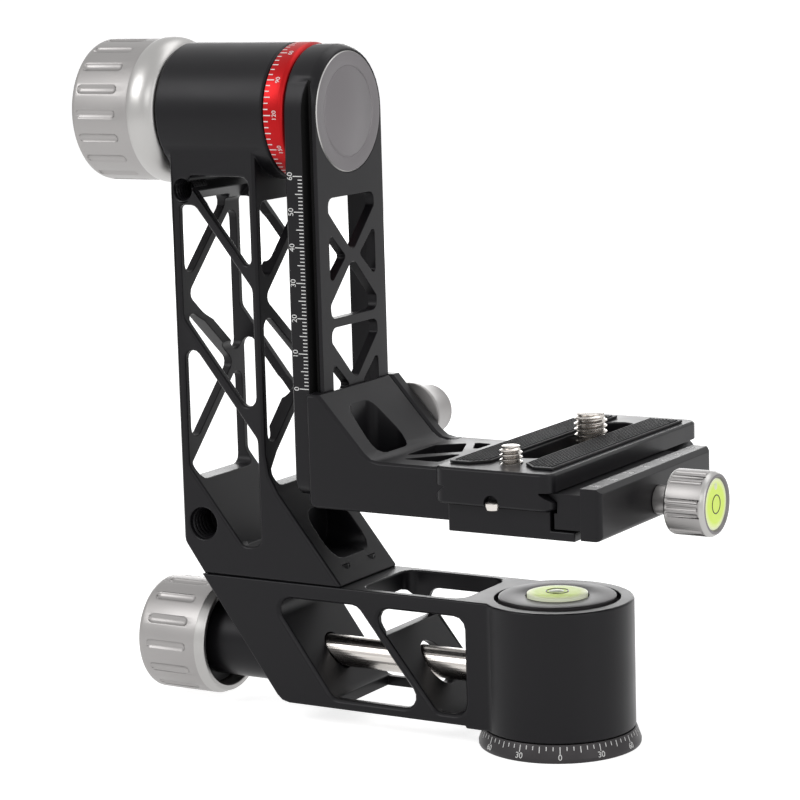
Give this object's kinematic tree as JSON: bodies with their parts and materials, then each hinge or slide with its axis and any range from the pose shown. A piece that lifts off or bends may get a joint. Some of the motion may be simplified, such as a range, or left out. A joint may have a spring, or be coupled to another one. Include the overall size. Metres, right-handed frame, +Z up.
{
  "type": "gimbal_head",
  "caption": "Black side-mount gimbal tripod head with truss arms, red tilt scale, satin silver lock knobs and a quick-release camera plate on a sliding bracket",
  "frame": {"origin": "on the pan axis at the underside of the base ring, where the tripod's stud enters", "axes": "+Z up along the pan axis; +X from the pan axis away from the column, along the tilt axis; +Y from the tick scale towards the bracket knob, along the camera plate"},
  "size_m": [0.1947, 0.0954, 0.197],
  "materials": {
    "black_anodised": "satin black anodised",
    "silver_satin": "satin silver anodised",
    "red_anodised": "red anodised",
    "grey_satin": "satin grey",
    "steel": "polished steel",
    "brass": "turned brass",
    "level_green": "clear yellow-green spirit level",
    "rubber": "matt rubber",
    "black_plastic": "matt"
  },
  "bodies": {
    "base": {"base_ring": "black_anodised", "tripod_bush": "brass", "pan_spindle": "steel", "pan_retainer": "steel", "retainer_screw": "steel"},
    "pan_arm": {"lower_arm": "black_anodised", "pan_cap": "black_anodised", "pan_level": "level_green", "pan_lock_sleeve": "black_anodised", "pan_brake_shoe": "brass", "vertical_arm": "black_anodised", "arm_bolt_1": "steel", "arm_bolt_2": "steel", "arm_bolt_3": "steel", "arm_bolt_4": "steel"},
    "pan_lock": {"pan_knob": "silver_satin", "pan_knob_hub": "black_plastic", "pan_lock_rod": "steel"},
    "tilt_lock": {"tilt_knob": "silver_satin", "tilt_stud": "steel"},
    "tilt_arm": {"tilt_shaft": "steel", "scale_ring": "red_anodised", "swing_arm": "black_anodised", "swing_cap": "grey_satin", "swing_screw_1": "steel", "swing_screw_2": "steel", "swing_screw_3": "steel", "swing_screw_4": "steel"},
    "platform": {"bracket": "black_anodised", "clamp_base": "black_anodised", "clamp_screw_1": "steel", "clamp_screw_2": "steel"},
    "rail_jaw": {"bracket_jaw": "black_anodised"},
    "rail_lock": {"bracket_knob": "silver_satin", "bracket_stud": "steel"},
    "plate_jaw": {"clamp_jaw": "black_anodised", "jaw_pin_1": "steel", "jaw_pin_2": "steel"},
    "plate_lock": {"clamp_knob": "silver_satin", "clamp_stud": "steel", "knob_level": "level_green"},
    "plate": {"camera_plate": "black_anodised", "grip_strip_left": "rubber", "grip_strip_right": "rubber", "stop_screw_1": "steel", "stop_screw_2": "steel"},
    "small_screw": {"small_camera_screw": "steel"},
    "large_screw": {"large_camera_screw": "steel"}
  },
  "joints": [
    {"name": "pan", "type": "hinge", "parent": "base", "child": "pan_arm", "pos_m": [0, 0, 0.0233], "axis": [0, 0, 1], "continuous": true},
    {"name": "pan_lock_turn", "type": "hinge", "parent": "pan_arm", "child": "pan_lock", "pos_m": [-0.1212, 0, 0.0188], "axis": [1, 0, 0], "range_deg": [-360, 0]},
    {"name": "tilt_lock_turn", "type": "hinge", "parent": "pan_arm", "child": "tilt_lock", "pos_m": [-0.1313, 0, 0.1758], "axis": [1, 0, 0], "range_deg": [-360, 0]},
    {"name": "tilt", "type": "hinge", "parent": "pan_arm", "child": "tilt_arm", "pos_m": [-0.0734, 0, 0.1758], "axis": [1, 0, 0], "continuous": true},
    {"name": "platform_height", "type": "slide", "parent": "tilt_arm", "child": "platform", "axis": [0, 0, 1], "range_m": [0, 0.06]},
    {"name": "rail_jaw_slide", "type": "slide", "parent": "platform", "child": "rail_jaw", "axis": [0, 1, 0], "range_m": [0, 0.0007]},
    {"name": "rail_lock_turn", "type": "hinge", "parent": "rail_jaw", "child": "rail_lock", "pos_m": [-0.0595, 0.0293, 0.0855], "axis": [0, 1, 0], "range_deg": [0, 360]},
    {"name": "plate_jaw_slide", "type": "slide", "parent": "platform", "child": "plate_jaw", "axis": [1, 0, 0], "range_m": [0, 0.0021]},
    {"name": "plate_lock_turn", "type": "hinge", "parent": "plate_jaw", "child": "plate_lock", "pos_m": [0.043, 0, 0.0716], "axis": [1, 0, 0], "range_deg": [0, 1080]},
    {"name": "plate_slide", "type": "slide", "parent": "platform", "child": "plate", "axis": [0, 1, 0], "range_m": [-0.018, 0]},
    {"name": "small_screw_turn", "type": "hinge", "parent": "plate", "child": "small_screw", "pos_m": [0, -0.025, 0.0816], "axis": [0, 0, 1], "continuous": true},
    {"name": "large_screw_slide", "type": "slide", "parent": "plate", "child": "large_screw", "axis": [0, 1, 0], "range_m": [-0.03, 0.016]}
  ],
  "couplings": [
    {"joint": "rail_lock_turn", "follows": "rail_jaw_slide", "rad_per_m": 8976},
    {"joint": "plate_lock_turn", "follows": "plate_jaw_slide", "rad_per_m": 8976}
  ]
}
